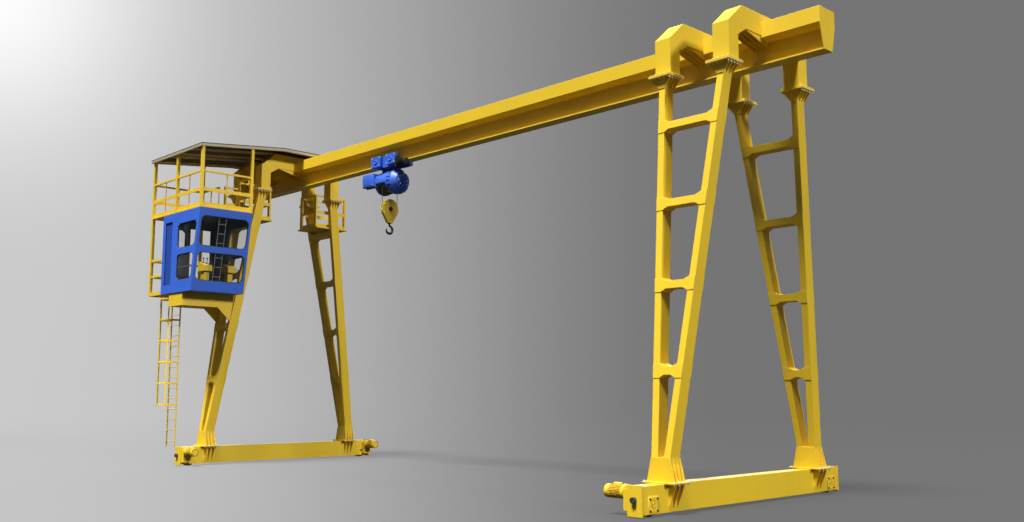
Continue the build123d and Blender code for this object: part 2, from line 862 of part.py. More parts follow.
# Roof frame: rafters and fascia strips under the sheet, on posts and on the saddles
fascia_inside = roof_near + fascia_thickness
rafters = [(x - rafter_width / 2, rafter_width, rafter_depth) for x in rafter_x]
edges = [(x, fascia_thickness, fascia_depth) for x in (roof_back, roof_front - fascia_thickness)]
with BuildPart() as roof_frame:
    for y, columns_at in ((post_near, post_x), (post_far, (back_post, front_post))):
        for x in columns_at:
            with BuildSketch(Plane.YZ.offset(x - post_size / 2)):
                Polygon(
                    (y - half_post, deck_top),
                    (y + half_post, deck_top),
                    (y + half_post, roof_underside(y + half_post)),
                    (y - half_post, roof_underside(y - half_post)),
                    align=None,
                )
            extrude(amount=post_size)
    for x, width, depth in rafters + edges:
        with BuildSketch(Plane.YZ.offset(x)):
            Polygon(
                (fascia_inside, roof_underside(fascia_inside)),
                (roof_bend, roof_underside(roof_bend)),
                (roof_far, roof_underside(roof_far)),
                (roof_far, roof_underside(roof_far) - depth),
                (roof_bend, roof_underside(roof_bend) - depth),
                (fascia_inside, roof_underside(fascia_inside) - depth),
                align=None,
            )
        extrude(amount=width)
    with BuildSketch(Plane.YZ.offset(roof_back)):
        Polygon(
            (roof_near, roof_underside(roof_near)),
            (fascia_inside, roof_underside(fascia_inside)),
            (fascia_inside, roof_underside(fascia_inside) - fascia_depth),
            (roof_near, roof_underside(roof_near) - fascia_depth),
            align=None,
        )
    extrude(amount=roof_front - roof_back)
roof_frame.part.label = "roof_frame"
export_step(roof_frame.part, "parts/roof_frame.step")

# Landing behind the cab: a plate on an edge frame, with the ladder's hatch
with BuildPart() as landing:
    landing_x = (deck_back + cab_back) / 2
    landing_y = (cab_near + cab_far) / 2
    landing_bottom = landing_top - landing_plate - landing_frame_depth
    with Locations((landing_x, landing_y, (landing_top + landing_bottom) / 2)):
        Box(cab_back - deck_back, cab_depth, landing_top - landing_bottom)
    with Locations((landing_x, landing_y, landing_bottom + landing_frame_depth / 2)):
        Box(
            cab_back - deck_back - 2 * landing_frame_width,
            cab_depth - 2 * landing_frame_width,
            landing_frame_depth,
            mode=Mode.SUBTRACT,
        )
    hatch_beam_y = hatch_y[1] + landing_frame_width / 2
    with Locations((landing_x, hatch_beam_y, landing_bottom + landing_frame_depth / 2)):
        Box(cab_back - deck_back, landing_frame_width, landing_frame_depth)
    hatch_middle_x = (hatch_x[0] + hatch_x[1]) / 2
    hatch_middle_y = (hatch_y[0] + hatch_y[1]) / 2
    with Locations((hatch_middle_x, hatch_middle_y, landing_top - landing_plate / 2)):
        Box(hatch_x[1] - hatch_x[0], hatch_y[1] - hatch_y[0], landing_plate, mode=Mode.SUBTRACT)
landing.part.label = "landing"
export_step(landing.part, "parts/landing.step")

# Landing railing: two posts up to the deck, with guard bars back to the cab
with BuildPart() as landing_railing:
    for y in (post_near, post_far):
        with Locations((back_post, y, (landing_top + cab_top) / 2)):
            Box(post_size, post_size, cab_top - landing_top)
        for z in landing_bar_heights:
            with Locations(((back_post + cab_back) / 2, y, z)):
                Box(cab_back - back_post, landing_bar / 2, landing_bar)
    for z in landing_bar_heights:
        with Locations((back_post, (post_near + post_far) / 2, z)):
            Box(landing_bar / 2, post_far - post_near, landing_bar)
landing_railing.part.label = "landing_railing"
export_step(landing_railing.part, "parts/landing_railing.step")

# Ladder: two flat stringers and round rungs, fixed to the hatch's edge
ladder_y = hatch_y[1] - stringer[1] / 2
with BuildPart() as ladder:
    for across in (-ladder_half_width, ladder_half_width):
        with Locations((ladder_x + across, ladder_y, (ladder_bottom + landing_top) / 2)):
            Box(stringer[0], stringer[1], landing_top - ladder_bottom)
    for rung in range(rung_count):
        with Locations((ladder_x, ladder_y, rung_first + rung * rung_pitch)):
            Cylinder(rung_radius, 2 * ladder_half_width, rotation=(0, 90, 0))
ladder.part.label = "ladder"
export_step(ladder.part, "parts/ladder.step")

# Ladder cage hoops, bent out from the stringers
hoop_inner = ladder_half_width + stringer[0] / 2
hoop_centre_y = ladder_y - hoop_straight
with BuildPart() as ladder_hoops:
    for z in hoop_heights:
        with BuildSketch(Plane.XY.offset(z - hoop_height / 2)):
            with Locations((ladder_x, hoop_centre_y)):
                Circle(hoop_inner + hoop_thickness)
            with Locations((ladder_x, ladder_y - hoop_straight / 2)):
                Rectangle(2 * (hoop_inner + hoop_thickness), hoop_straight)
            with Locations((ladder_x, hoop_centre_y)):
                Circle(hoop_inner, mode=Mode.SUBTRACT)
            with Locations((ladder_x, ladder_y - hoop_straight / 2)):
                Rectangle(2 * hoop_inner, hoop_straight, mode=Mode.SUBTRACT)
            with Locations((ladder_x, ladder_y + hoop_inner / 2)):
                Rectangle(2 * hoop_inner, hoop_inner, mode=Mode.SUBTRACT)
        extrude(amount=hoop_height)
ladder_hoops.part.label = "ladder_hoops"
export_step(ladder_hoops.part, "parts/ladder_hoops.step")

# Upright strips on the outside of the hoops
with BuildPart() as cage_strips:
    cage_low = hoop_heights[0] - hoop_height / 2
    cage_high = hoop_heights[-1] + hoop_height / 2
    strip_radius = hoop_inner + hoop_thickness + strip_thickness / 2
    for turn in cage_strip_turns:
        strip_place = (
            ladder_x + strip_radius * sin(radians(turn)),
            hoop_centre_y - strip_radius * cos(radians(turn)),
            (cage_low + cage_high) / 2,
        )
        with Locations(Location(strip_place, (0, 0, turn))):
            Box(cage_strip_width, strip_thickness, cage_high - cage_low)
cage_strips.part.label = "cage_strips"
export_step(cage_strips.part, "parts/cage_strips.step")

# Hoist trolley: two side plates with wheel housings, tied together under the flange
with BuildPart() as trolley_frame:
    plate_z = (trolley_plate_bottom + trolley_plate_top) / 2
    housing_y = trolley_plate_y + trolley_plate_thickness + housing[1] / 2
    for y_sign in (-1, 1):
        with Locations((hoist_x, y_sign * (trolley_plate_y + trolley_plate_thickness / 2), plate_z)):
            Box(2 * trolley_half_length, trolley_plate_thickness, trolley_plate_top - trolley_plate_bottom)
        for dx in (-housing_offset, housing_offset):
            with Locations((hoist_x + dx, y_sign * housing_y, housing_z)):
                Box(*housing)
    tie_places = (hoist_x + drum_back + frame_ring_length / 2, hoist_x + drum_front - frame_ring_length / 2)
    with Locations(*((tie_x, 0, tie_bar_z) for tie_x in tie_places)):
        Box(tie_bar[0], 2 * trolley_plate_y, tie_bar[1])
trolley_frame.part.label = "trolley_frame"
export_step(trolley_frame.part, "parts/trolley_frame.step")

# Trolley wheels on the flange, each on a stub axle in its side plate
with BuildPart() as trolley_wheels:
    trolley_wheel_z = flange_top + trolley_wheel_radius + trolley_wheel_lift
    for y_sign in (-1, 1):
        for dx in (-housing_offset, housing_offset):
            with Locations((hoist_x + dx, y_sign * trolley_wheel_y, trolley_wheel_z)):
                Cylinder(trolley_wheel_radius, trolley_wheel_width, rotation=(90, 0, 0))
            axle_start = trolley_wheel_y + trolley_wheel_width / 2
            with Locations((hoist_x + dx, y_sign * (axle_start + trolley_plate_y) / 2, trolley_wheel_z)):
                Cylinder(trolley_axle_radius, trolley_plate_y - axle_start, rotation=(90, 0, 0))
trolley_wheels.part.label = "trolley_wheels"
export_step(trolley_wheels.part, "parts/trolley_wheels.step")

# Trolley motor on a gear case at the end of the front housing
with BuildPart() as trolley_motor:
    case_start = hoist_x + housing_offset + housing[0] / 2
    motor_start = case_start + trolley_gear_case[0]
    with Locations((case_start + trolley_gear_case[0] / 2, trolley_motor_y, trolley_gear_case_z)):
        Box(*trolley_gear_case)
    with Locations((motor_start + trolley_motor_length / 2, trolley_motor_y, trolley_motor_z)):
        Cylinder(trolley_motor_radius, trolley_motor_length, rotation=(0, 90, 0))
trolley_motor.part.label = "trolley_motor"
export_step(trolley_motor.part, "parts/trolley_motor.step")

# Hoist drum casing between two end rings, hung by lugs from the trolley's tie bars
with BuildPart() as hoist_drum:
    with Locations((hoist_x + (drum_back + drum_front) / 2, 0, drum_axis_z)):
        Cylinder(drum_radius, drum_front - drum_back, rotation=(0, 90, 0))
    with Locations(*((tie_x, 0, drum_axis_z) for tie_x in tie_places)):
        Cylinder(frame_ring_radius, frame_ring_length, rotation=(0, 90, 0))
    lug_top = tie_bar_z - tie_bar[1] / 2
    with Locations(*((tie_x, 0, (drum_axis_z + lug_top) / 2) for tie_x in tie_places)):
        Box(frame_ring_length, lug_width, lug_top - drum_axis_z)
hoist_drum.part.label = "hoist_drum"
export_step(hoist_drum.part, "parts/hoist_drum.step")

# Hoist motor: a wide round housing on the drum's front end, drawn in to a brake cover
with BuildPart() as hoist_motor:
    with BuildSketch(Plane.XZ):
        motor_back = hoist_x + drum_front
        cone_start = motor_back + hoist_motor_length
        cone_end = cone_start + hoist_motor_taper
        Polygon(
            (motor_back, drum_axis_z),
            (motor_back, drum_axis_z + hoist_motor_radius),
            (cone_start, drum_axis_z + hoist_motor_radius),
            (cone_end, drum_axis_z + hoist_motor_end_radius),
            (cone_end, drum_axis_z + brake_cover_radius),
            (cone_end + brake_cover_length, drum_axis_z + brake_cover_radius),
            (cone_end + brake_cover_length, drum_axis_z),
            align=None,
        )
    revolve(axis=Axis((hoist_x, 0, drum_axis_z), (1, 0, 0)))
hoist_motor.part.label = "hoist_motor"
export_step(hoist_motor.part, "parts/hoist_motor.step")

# Control box on the drum's back end
with BuildPart() as hoist_control_box:
    with Locations((hoist_x + drum_back - control_box[0] / 2, control_box_y, control_box_z)):
        Box(*control_box)
    fillet(hoist_control_box.edges().filter_by(Axis.Z), control_box_round)
hoist_control_box.part.label = "hoist_control_box"
export_step(hoist_control_box.part, "parts/hoist_control_box.step")

# Rope guide: a ring that runs on the drum
with BuildPart() as rope_guide:
    guide_x = hoist_x + drum_back + frame_ring_length + rope_guide_gap + rope_guide_length / 2
    with Locations((guide_x, 0, drum_axis_z)):
        Cylinder(rope_guide_radius, rope_guide_length, rotation=(0, 90, 0))
        Cylinder(drum_radius + rope_guide_play, rope_guide_length, rotation=(0, 90, 0), mode=Mode.SUBTRACT)
rope_guide.part.label = "rope_guide"
export_step(rope_guide.part, "parts/rope_guide.step")

# Two taut rope falls from the hoist to the sheave
with BuildPart() as ropes:
    with Locations(*((hook_x, y, (rope_top + sheave_z) / 2) for y in (-rope_spread, rope_spread))):
        Cylinder(rope_radius, rope_top - sheave_z)
ropes.part.label = "ropes"
export_step(ropes.part, "parts/ropes.step")

# Hook block: a round sheave cover with a tapering neck, slotted for the sheave and ropes
with BuildPart() as hook_block:
    with BuildSketch(Plane.YZ.offset(hook_x)):
        with Locations((0, sheave_z)):
            Circle(block_radius)
        Polygon(
            (-block_shoulder_half_width, block_shoulder_z),
            (block_shoulder_half_width, block_shoulder_z),
            (block_neck_half_width, block_bottom),
            (-block_neck_half_width, block_bottom),
            align=None,
        )
    extrude(amount=block_thickness / 2, both=True)
    with Locations((hook_x, 0, sheave_z)):
        Cylinder(block_radius - block_rim, rope_slot, rotation=(0, 90, 0), mode=Mode.SUBTRACT)
    with Locations((hook_x, 0, sheave_z + block_radius / 2)):
        Box(rope_slot, 2 * block_radius, block_radius, mode=Mode.SUBTRACT)
    with Locations((hook_x, 0, block_bottom + hook_shank_rise / 2)):
        bore_length = hook_shank_rise + 5 * hook_shank_play
        Cylinder(hook_shank_radius + hook_shank_play, bore_length, mode=Mode.SUBTRACT)
hook_block.part.label = "hook_block"
export_step(hook_block.part, "parts/hook_block.step")

# Sheave in the block, grooved, with a hub between the cover's two cheeks
with BuildPart() as hook_sheave:
    with BuildSketch(Plane((hook_x, 0, sheave_z), (1, 0, 0), (0, -1, 0))):
        Polygon(
            (-rope_slot / 2, 0),
            (-rope_slot / 2, sheave_hub_radius),
            (-sheave_thickness / 2, sheave_hub_radius),
            (-sheave_thickness / 2, sheave_radius),
            (-sheave_groove_half_width, sheave_radius - sheave_groove),
            (sheave_groove_half_width, sheave_radius - sheave_groove),
            (sheave_thickness / 2, sheave_radius),
            (sheave_thickness / 2, sheave_hub_radius),
            (rope_slot / 2, sheave_hub_radius),
            (rope_slot / 2, 0),
            align=None,
        )
    revolve(axis=Axis((hook_x, 0, sheave_z), (1, 0, 0)))
hook_sheave.part.label = "hook_sheave"
export_step(hook_sheave.part, "parts/hook_sheave.step")

# Hook: a forged bar that thickens round its bowl and tapers to a tip, turning in the block's neck
bend_angle = acos(hook_bend_radius / (hook_bend_radius + hook_bowl_radius))
bowl_z = hook_neck_end - (hook_bend_radius + hook_bowl_radius) * sin(bend_angle)
with BuildPart() as hook:
    with BuildLine(Plane.YZ.offset(hook_x)) as hook_path:
        Line((0, block_bottom + hook_shank_rise), (0, hook_neck_end))
        CenterArc((hook_bend_radius, hook_neck_end), hook_bend_radius, 180, degrees(bend_angle))
        CenterArc((0, bowl_z), hook_bowl_radius, degrees(bend_angle), -hook_bowl_turn)
    hook_line = hook_path.wires()[0]
    for share, radius in hook_radii:
        with BuildSketch(Plane(hook_line.location_at(share))):
            Circle(radius)
    sweep(path=hook_line, multisection=True)
    with Locations(hook_line.position_at(1)):
        Sphere(hook_radii[-1][1])
    with Locations((hook_x, 0, block_bottom - hook_collar_gap - hook_collar / 2)):
        Cylinder(hook_collar_radius, hook_collar)
hook.part.label = "hook"
export_step(hook.part, "parts/hook.step")
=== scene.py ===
from math import atan2, cos, pi, radians, sin

import bpy
from mathutils import Matrix, Vector


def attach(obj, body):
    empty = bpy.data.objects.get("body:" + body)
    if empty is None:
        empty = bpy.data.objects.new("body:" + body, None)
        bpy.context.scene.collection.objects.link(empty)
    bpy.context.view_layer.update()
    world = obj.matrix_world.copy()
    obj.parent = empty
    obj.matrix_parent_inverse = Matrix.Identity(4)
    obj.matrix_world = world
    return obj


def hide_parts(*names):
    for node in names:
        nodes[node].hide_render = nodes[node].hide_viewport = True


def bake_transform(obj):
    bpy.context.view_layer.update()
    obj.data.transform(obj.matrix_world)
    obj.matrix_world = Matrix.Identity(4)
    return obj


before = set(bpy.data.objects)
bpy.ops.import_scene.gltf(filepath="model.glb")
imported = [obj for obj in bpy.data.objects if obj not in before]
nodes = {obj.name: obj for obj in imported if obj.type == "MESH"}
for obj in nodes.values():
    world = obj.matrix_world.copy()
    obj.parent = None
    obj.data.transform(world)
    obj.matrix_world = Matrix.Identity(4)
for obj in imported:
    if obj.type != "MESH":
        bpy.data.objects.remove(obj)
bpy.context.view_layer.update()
bpy.ops.object.select_all(action="DESELECT")


# The girder is a welded plate box with a web and a running flange under it. All of the steelwork
# is blasted and sprayed with two coats of yellow enamel, which leaves a fine orange peel, some
# dust on what faces up, faint rain streaks and a thinner, paler coat along each edge.
class Shade:
    """One output of a material's nodes. Arithmetic on it adds Math nodes."""

    def __init__(self, tree, output=None):
        self.tree = tree
        self.output = output

    def node(self, kind, settings, sockets, output=0):
        """Adds a node, sets it up, then fills or links its sockets."""
        made = self.tree.nodes.new(kind)
        for name, value in settings.items():
            setattr(made, name, value)
        for name, value in sockets.items():
            if isinstance(value, Shade):
                self.tree.links.new(value.output, made.inputs[name])
            else:
                made.inputs[name].default_value = value
        return Shade(self.tree, made.outputs[output])

    def maths(self, operation, first, second):
        return self.node("ShaderNodeMath", {"operation": operation}, {0: first, 1: second})

    def __add__(self, other):
        return self.maths("ADD", self, other)

    def __sub__(self, other):
        return self.maths("SUBTRACT", self, other)

    def __rsub__(self, other):
        return self.maths("SUBTRACT", other, self)

    def __mul__(self, other):
        return self.maths("MULTIPLY", self, other)

    __radd__ = __add__
    __rmul__ = __mul__

    def dot(self, other):
        """How far this vector points along another one."""
        sockets = {0: self, 1: other}
        return self.node("ShaderNodeVectorMath", {"operation": "DOT_PRODUCT"}, sockets, "Value")

    def band(self, low, high):
        """0 below low, 1 above high, and a smooth rise between them."""
        return self.node(
            "ShaderNodeMapRange",
            {"interpolation_type": "SMOOTHSTEP"},
            {"Value": self, "From Min": low, "From Max": high},
        )

    def place(self):
        """Where a point is in the object's own space."""
        return self.node("ShaderNodeTexCoord", {}, {}, "Object")

    def along(self, vector, axis):
        """One axis of a vector."""
        return self.node("ShaderNodeSeparateXYZ", {}, {"Vector": vector}, axis)

    def noise(self, scale, detail, stretch=(1, 1, 1)):
        """Cloudy noise in the object's own space, stretched along an axis where one is small."""
        turned = self.node("ShaderNodeMapping", {}, {"Vector": self.place(), "Scale": stretch})
        sockets = {"Vector": turned, "Scale": scale, "Detail": detail}
        return self.node("ShaderNodeTexNoise", {}, sockets)

    def bump(self, strength, distance, **more):
        """The surface's normal, raised by this value."""
        sockets = {"Strength": strength, "Distance": distance, "Height": self}
        return self.node("ShaderNodeBump", {}, sockets | more)

    def tint(self, amount, first, second):
        """The first colour turned into the second by amount."""
        sockets = {0: amount, 6: first, 7: second}
        return self.node("ShaderNodeMix", {"data_type": "RGBA"}, sockets, 2)

    def feed(self, shader, socket):
        self.tree.links.new(self.output, shader.inputs[socket])


def new_finish(name):
    """A new material, its shader, and a hand that adds nodes to it."""
    material = bpy.data.materials.new(name)
    material.use_nodes = True
    shader = material.node_tree.nodes["Principled BSDF"]
    return material, shader, Shade(material.node_tree)


def deeper(colour, share):
    """The same colour with a share of its strength."""
    return tuple(part * share for part in colour[:3]) + (1,)


def enamel(name, coat, worn, dust, tread=0.0, zones=(), coat_weight=0.12, specular=0.5):
    """Sprayed enamel: the coat, its thin edges and the dust on it are colours. Tread raises studs.

    Each zone takes the hand and gives where another colour lies, a coat or painted shade, and that
    colour.
    """
    material, shader, hand = new_finish(name)
    clouds = hand.noise(scale=0.6, detail=3.0)
    streaks = hand.noise(scale=5.0, detail=4.0, stretch=(1.0, 1.0, 0.06)).band(0.52, 0.78)
    grime = hand.noise(scale=2.2, detail=6.0).band(0.55, 0.85)
    relief = hand.noise(scale=160.0, detail=2.0) * 0.15
    if tread:
        grid = {"Vector": hand.place(), "Scale": 32.0, "Randomness": 0.0}
        studs = hand.node("ShaderNodeTexVoronoi", {}, grid)
        relief = relief + (1 - studs.band(0.18, 0.32)) * tread
    normal = hand.node("ShaderNodeNewGeometry", {}, {}, "Normal")
    rounded = hand.node("ShaderNodeBevel", {"samples": 4}, {"Radius": 0.010})
    edge = 1 - rounded.dot(normal).band(0.90, 0.995)
    settled = hand.along(normal, "Z").band(0.55, 0.95) * grime
    thick_coat = deeper(coat, 0.80)
    colour = hand.tint(clouds.band(0.30, 0.75) * 0.40, coat, thick_coat)
    colour = hand.tint(streaks * 0.22, colour, thick_coat)
    colour = hand.tint(settled * 0.35, colour, dust)
    colour = hand.tint(edge * 0.45, colour, worn)
    # Zones lay other coats, and painted shade, over the enamel.
    for zone in zones:
        where, other_coat_or_shade = zone(hand)
        cloudy_coat_or_shade = hand.tint(clouds, other_coat_or_shade, deeper(other_coat_or_shade, 0.70))
        colour = hand.tint(where, colour, cloudy_coat_or_shade)
    colour.feed(shader, "Base Color")
    (clouds * 0.14 + settled * 0.22 + 0.43).feed(shader, "Roughness")
    relief.bump(strength=0.3, distance=0.002, Normal=rounded).feed(shader, "Normal")
    shader.inputs["Coat Weight"].default_value = coat_weight
    shader.inputs["Coat Roughness"].default_value = 0.32
    shader.inputs["Specular IOR Level"].default_value = specular
    return material


yellow = (0.76, 0.505, 0.016, 1)
pale_yellow = (0.84, 0.66, 0.13, 1)
yellow_dust = (0.47, 0.37, 0.19, 1)
yellow_paint = enamel("yellow_enamel", yellow, pale_yellow, yellow_dust)


def dress(finish, *names):
    """Gives CAD nodes a finish in place of their plain one."""
    for name in names:
        nodes[name].data.materials.clear()
        nodes[name].data.materials.append(finish)


def primitive(kind, name, **size):
    """One mesh primitive at its size and place, fixed in its mesh, with nothing else selected."""
    bpy.ops.object.select_all(action="DESELECT")
    getattr(bpy.ops.mesh, f"primitive_{kind}_add")(**size)
    piece = bpy.context.object
    piece.name = name
    piece.data.name = name
    bpy.ops.object.transform_apply(location=True, rotation=True, scale=True)
    return piece


def only(*pieces):
    """Selects these pieces alone and makes the first one active."""
    bpy.ops.object.select_all(action="DESELECT")
    for piece in pieces:
        piece.select_set(True)
    bpy.context.view_layer.objects.active = pieces[0]


def join(name, *pieces):
    """Joins pieces into one mesh."""
    only(*pieces)
    if len(pieces) > 1:
        bpy.ops.object.join()
    pieces[0].name = name
    pieces[0].data.name = name
    return pieces[0]


def spread(master, name, places):
    """Copies a master to each place, joins the copies and drops the master."""
    copies = []
    for place in places:
        copy = master.copy()
        copy.data = master.data.copy()
        copy.data.transform(place)
        bpy.context.collection.objects.link(copy)
        copies.append(copy)
    bpy.data.objects.remove(master)
    return join(name, *copies)


def settle(piece, finish, body):
    """Smooths a finished piece, gives it its finish and lets it ride on its body."""
    only(piece)
    bpy.ops.object.shade_smooth_by_angle(angle=radians(32))
    piece.data.materials.clear()
    piece.data.materials.append(finish)
    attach(piece, body)


dress(yellow_paint, "girder_box", "girder_web", "running_flange", "girder_end_plates")
lying = (0, pi / 2, 0)
web_face = 0.011
web_bottom = 8.057
web_top = 8.468
bead = primitive("cylinder", "girder_welds", vertices=8, radius=0.008, depth=19.96, rotation=lying)
seams = [(0, y, z) for y in (-web_face, web_face) for z in (web_bottom, web_top)]
welds = spread(bead, "girder_welds", [Matrix.Translation(seam) for seam in seams])
settle(welds, yellow_paint, "frame")


# Both legs are welded box frames: saddles over the girder, columns that lean in both ways, and
# crossbars between them. Each saddle is joined to its column by a pair of flange plates that
# galvanised hexagon bolts pull together, with the heads above and the nuts below.
dress(yellow_paint, "saddles", "saddle_ribs", "leg_heads", "columns", "crossbars", "feet")


def grained(name, dark, light, smooth, rough, metallic, **grain):
    """A finish whose colour and roughness both vary with a fine grain."""
    material, shader, hand = new_finish(name)
    marks = hand.noise(**grain)
    hand.tint(marks, dark, light).feed(shader, "Base Color")
    (marks * (rough - smooth) + smooth).feed(shader, "Roughness")
    shader.inputs["Metallic"].default_value = metallic
    return material, shader, marks


zinc, _, _ = grained(
    "galvanised_bolts", (0.60, 0.60, 0.58, 1), (0.82, 0.82, 0.79, 1),
    smooth=0.30, rough=0.55, metallic=0.35, scale=220.0, detail=2.0,
)


def pick(piece, test, kind="FACE"):
    """Opens the piece in edit mode with the faces, or the points, selected that pass the test."""
    only(piece)
    bpy.ops.object.mode_set(mode="EDIT")
    bpy.ops.mesh.select_mode(type=kind)
    bpy.ops.mesh.select_all(action="DESELECT")
    bpy.ops.object.mode_set(mode="OBJECT")
    for part in piece.data.polygons if kind == "FACE" else piece.data.vertices:
        part.select = test(part)
    bpy.ops.object.mode_set(mode="EDIT")


def chamfer_top(piece, width):
    """Cuts off the edge round the top of a piece."""
    pick(piece, lambda face: face.normal.z > 0.9)
    bpy.ops.mesh.bevel(offset=width, segments=1)
    bpy.ops.object.mode_set(mode="OBJECT")


def hexagon(name, across, height, washer, tip):
    """A bolt head or nut on its washer, pointing up from the origin, with the bolt's end above."""
    middle = (0, 0, washer + height / 2)
    size = {"vertices": 6, "radius": across / 2, "depth": height}
    head = primitive("cylinder", name, location=middle, **size)
    chamfer_top(head, across * 0.07)
    middle = (0, 0, washer / 2)
    size = {"vertices": 16, "radius": across * 0.62, "depth": washer}
    ring = primitive("cylinder", name, location=middle, **size)
    parts = [head, ring]
    if tip:
        middle = (0, 0, washer + height + tip / 2)
        size = {"vertices": 12, "radius": across * 0.29, "depth": tip}
        end = primitive("cylinder", name, location=middle, **size)
        chamfer_top(end, across * 0.06)
        parts.append(end)
    return join(name, *parts)


def bolt_up(
    name, places, body, across, height, washer, tip=0, finish=zinc
):
    """Sets a bolt head or nut of this size at each place."""
    bolts = spread(hexagon(name, across, height, washer, tip), name, places)
    settle(bolts, finish, body)


flip = Matrix.Rotation(pi, 4, "X")


def through_bolts(spots, top, bottom):
    """Places for the heads on top of a joint, and for the nuts under it."""
    heads = [Matrix.Translation((x, y, top)) for x, y in spots]
    nuts = [Matrix.Translation((x, y, bottom)) @ flip for x, y in spots]
    return heads, nuts


leg_x = 8.0
both_legs = (-leg_x, leg_x)
saddle_offset = 0.645
head_y = 1.246
joint_side = 0.208
joint_front = -0.198
joint_rows = (-0.188, -0.094, 0.0, 0.094, 0.188)
joint_spots = [(across, along) for across in (-joint_side, joint_side) for along in joint_rows]
joint_spots += [(across, joint_front) for across in (-0.105, 0.0, 0.105)]
joint_bolts = [
    (leg + lean + across, near * (head_y - along))
    for leg in both_legs
    for lean in (-saddle_offset, saddle_offset)
    for near in (-1, 1)
    for across, along in joint_spots
]
joint_heads, joint_nuts = through_bolts(joint_bolts, top=7.875, bottom=7.825)
bolt_up("joint_bolt_heads", joint_heads, "frame", across=0.041, height=0.016, washer=0.004)
bolt_up("joint_nuts", joint_nuts, "frame", across=0.041, height=0.020, washer=0.004, tip=0.018)


# Each foot stands on the sill with a base plate, held down by smaller bolts through both of its
# overhanging edges. The sills are long boxes on flanged wheels, closed by end plates with black
# rubber buffers, and every wheel's bearing sits behind a square cover with four bolts.
dress(yellow_paint, "sills", "sill_end_plates")
foot_y = 2.330
foot_edge = 0.310
foot_rows = (-0.190, -0.0575, 0.0575, 0.190)
foot_bolts = [
    (leg + across, near * foot_y + along)
    for leg in both_legs
    for near in (-1, 1)
    for across in (-foot_edge, foot_edge)
    for along in foot_rows
]
foot_heads, foot_nuts = through_bolts(foot_bolts, top=0.531, bottom=0.506)
bolt_up("foot_bolt_heads", foot_heads, "frame", across=0.031, height=0.014, washer=0.003)
bolt_up("foot_nuts", foot_nuts, "frame", across=0.031, height=0.018, washer=0.003, tip=0.015)


def soften(piece, width):
    """Rounds a piece's sharp edges."""
    only(piece)
    bevel = piece.modifiers.new("soften", "BEVEL")
    bevel.width = width
    bevel.segments = 2
    bpy.ops.object.modifier_apply(modifier="soften")


def step_faces(piece, way, *steps):
    """Insets the faces that look one way by a margin, then moves them along it, at each step."""
    pick(piece, lambda face: face.normal.dot(way) > 0.95)
    for margin, move in steps:
        bpy.ops.mesh.inset(thickness=margin, depth=0)
        bpy.ops.mesh.extrude_region_move(TRANSFORM_OT_translate={"value": tuple(way * move)})
    bpy.ops.object.mode_set(mode="OBJECT")


forward = Vector((1, 0, 0))
upward = Vector((0, 0, 1))
wheel_y = 2.860
wheel_z = 0.200
sill_half_width = 0.140
cover_size = 0.270
cover_plate = 0.014
cover_pitch = (-0.095, 0.095)
cover_scale = (cover_plate, cover_size, cover_size)
cover = primitive("cube", "bearing_covers", size=1, scale=cover_scale)
step_faces(cover, forward, (0.060, -0.004))
soften(cover, 0.003)
cap_size = {"vertices": 40, "radius": 0.048, "depth": 0.012}
cap = primitive("cylinder", "axle_cap", rotation=lying, location=(0.006, 0, 0), **cap_size)
step_faces(cap, forward, (0.016, -0.005))
cover = join("bearing_covers", cover, cap)
sideways = Matrix.Rotation(pi / 2, 4, "Y")
about = Matrix.Rotation(pi, 4, "Z")
cover_places = []
cover_bolts = []
for leg in both_legs:
    outward = 1 if leg > 0 else -1
    turn = Matrix.Identity(4) if outward > 0 else about
    cover_middle = leg + outward * (sill_half_width + cover_plate / 2)
    cover_face = leg + outward * (sill_half_width + cover_plate)
    for wheel in (-wheel_y, wheel_y):
        cover_places.append(Matrix.Translation((cover_middle, wheel, wheel_z)) @ turn)
        for across in cover_pitch:
            for up in cover_pitch:
                spot = Matrix.Translation((cover_face, wheel + across, wheel_z + up))
                cover_bolts.append(spot @ turn @ sideways)
settle(spread(cover, "bearing_covers", cover_places), yellow_paint, "frame")

dark_iron, dark_iron_shader, hand = new_finish("dark_forged_iron")
scale_marks = hand.noise(scale=28.0, detail=5.0)
polish = hand.noise(scale=6.0, detail=2.0).band(0.5, 0.8)
iron_colour = hand.tint(scale_marks, (0.018, 0.018, 0.020, 1), (0.055, 0.052, 0.050, 1))
iron_colour = hand.tint(polish * 0.4, iron_colour, (0.11, 0.105, 0.10, 1))
iron_colour.feed(dark_iron_shader, "Base Color")
(scale_marks * 0.30 + 0.30).feed(dark_iron_shader, "Roughness")
dark_iron_shader.inputs["Metallic"].default_value = 0.6
scale_marks.bump(strength=0.12, distance=0.003).feed(dark_iron_shader, "Normal")
bolt_up(
    "bearing_bolts", cover_bolts, "frame", across=0.034, height=0.014, washer=0.003,
    finish=dark_iron,
)
dress(dark_iron, "wheel_left_near", "wheel_left_far", "wheel_right_near", "wheel_right_far")

rubber, rubber_shader, bloom = grained(
    "black_rubber", (0.012, 0.012, 0.012, 1), (0.035, 0.034, 0.033, 1),
    smooth=0.62, rough=0.82, metallic=0.0, scale=14.0, detail=4.0,
)
bloom.bump(strength=0.1, distance=0.002).feed(rubber_shader, "Normal")
dress(rubber, "buffers")


# Two geared motors on each sill's inner side drive the crane along its track: a cast gearbox with
# a bolted flange and a finned motor with a fan cowl and a terminal box, all in the same yellow.
dress(yellow_paint, "travel_drives")


def block(name, low, high, round_edge):
    """A rounded box between two corners."""
    middle = [(start + end) / 2 for start, end in zip(low, high)]
    size = [end - start for start, end in zip(low, high)]
    piece = primitive("cube", name, size=1, location=middle, scale=size)
    if round_edge:
        soften(piece, round_edge)
    return piece


def ring_of(count, radius):
    """Places spaced around the X axis at a radius, each turned to point outward."""
    turns = [Matrix.Rotation(2 * pi * step / count, 4, "X") for step in range(count)]
    return [turn @ Matrix.Translation((0, 0, radius)) for turn in turns]


